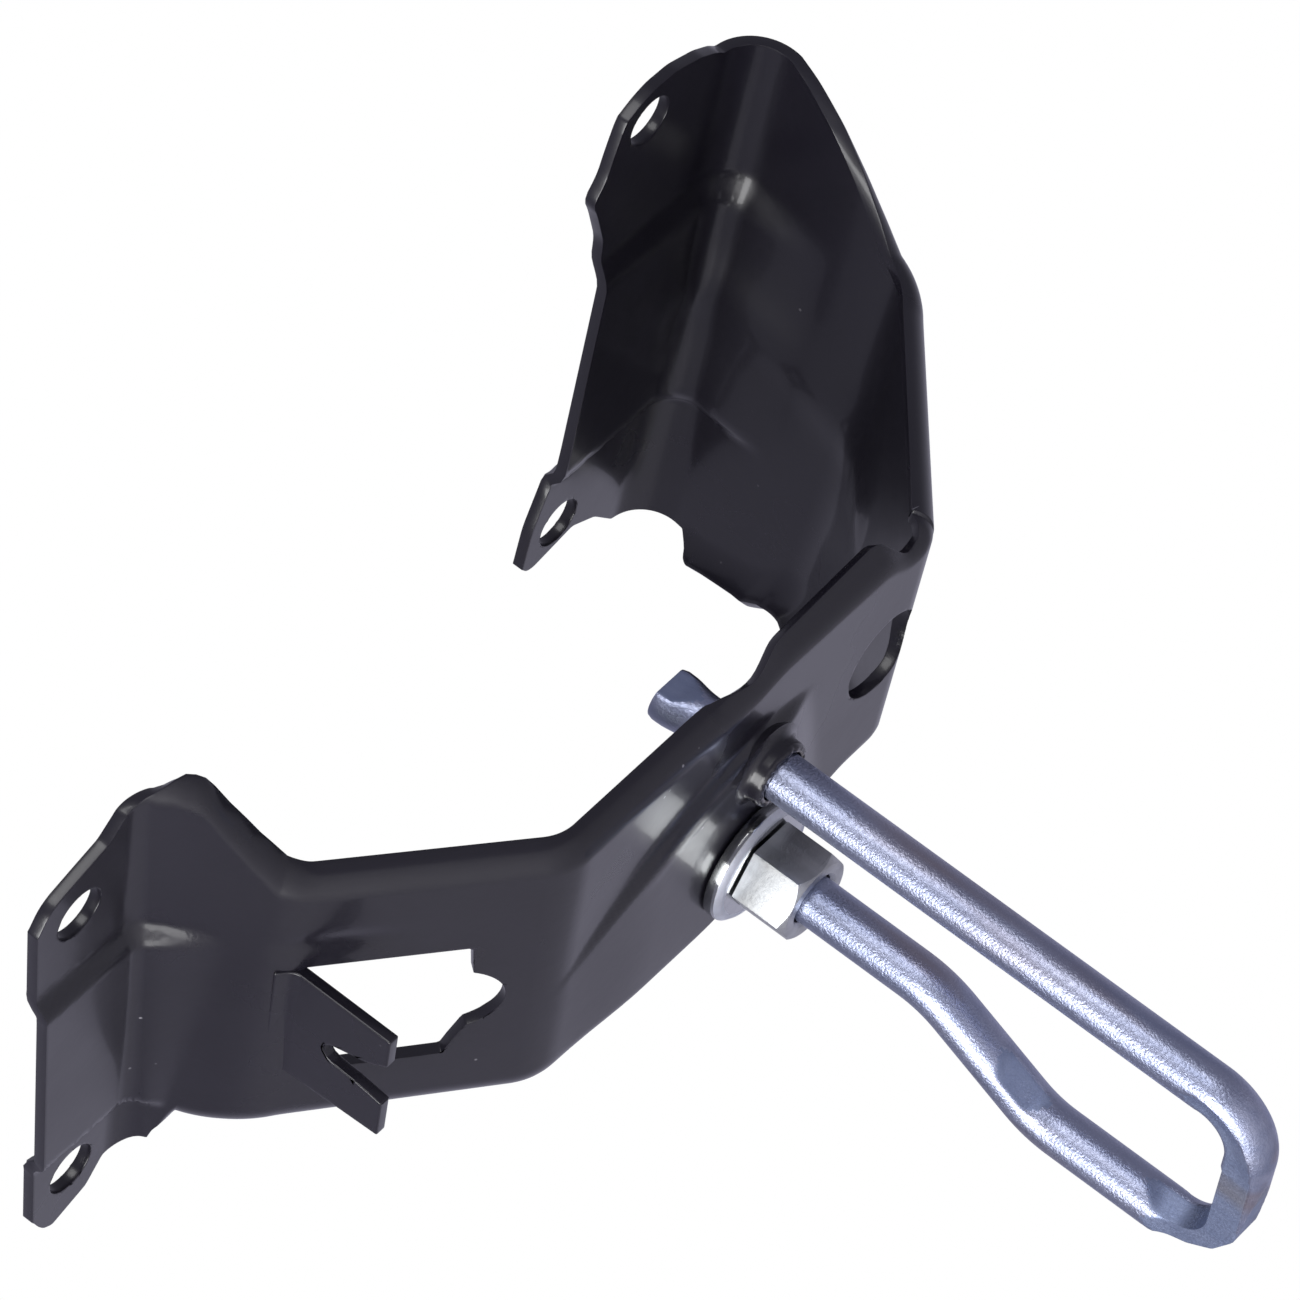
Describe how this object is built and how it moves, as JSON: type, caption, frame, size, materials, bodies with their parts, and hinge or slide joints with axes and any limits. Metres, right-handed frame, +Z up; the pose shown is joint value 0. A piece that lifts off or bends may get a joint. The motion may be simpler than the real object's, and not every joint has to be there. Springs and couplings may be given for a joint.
{
  "type": "hood latch striker assembly",
  "caption": "Stamped sheet-steel hat bracket carrying a bent rod striker hoop, bolted under a car bonnet so that the lock can catch the hoop's crossbar.",
  "frame": {"origin": "on the centre line of the striker hoop, in the plane of the hood on which foot A seats", "axes": "+Z up as installed, away from the hoop's crossbar; +X from foot A to foot B; +Y across the bracket, from the plain leg of the hoop to the threaded leg"},
  "size_m": [0.1941, 0.1166, 0.172],
  "materials": {
    "black_ecoat": "glossy electrocoat over pressed sheet",
    "zinc_rod": "blue zinc plated bent rod",
    "zinc_washer": "zinc plated",
    "zinc_nut": "bright zinc plated",
    "zinc_rear_nut": "zinc plated"
  },
  "bodies": {
    "bracket": {"bracket": "black_ecoat", "front_washer": "zinc_washer"},
    "striker": {"striker_hoop": "zinc_rod"},
    "front_nut": {"front_nut": "zinc_nut"},
    "rear_nut": {"rear_nut": "zinc_rear_nut"}
  },
  "joints": [
    {"name": "front_nut_spin", "type": "hinge", "parent": "bracket", "child": "front_nut", "pos_m": [0, 0.011, -0.055], "axis": [0, 0, 1], "range_deg": [-1153, 1153]},
    {"name": "rear_nut_spin", "type": "hinge", "parent": "bracket", "child": "rear_nut", "pos_m": [0, 0.011, -0.042], "axis": [0, 0, 1], "range_deg": [-1153, 1153]},
    {"name": "striker_height", "type": "slide", "parent": "bracket", "child": "striker", "axis": [0, 0, -1], "range_m": [-0.004, 0.004]}
  ],
  "couplings": [
    {"joint": "front_nut_spin", "follows": "striker_height", "rad_per_m": 5026.5},
    {"joint": "rear_nut_spin", "follows": "striker_height", "rad_per_m": 5026.5}
  ]
}
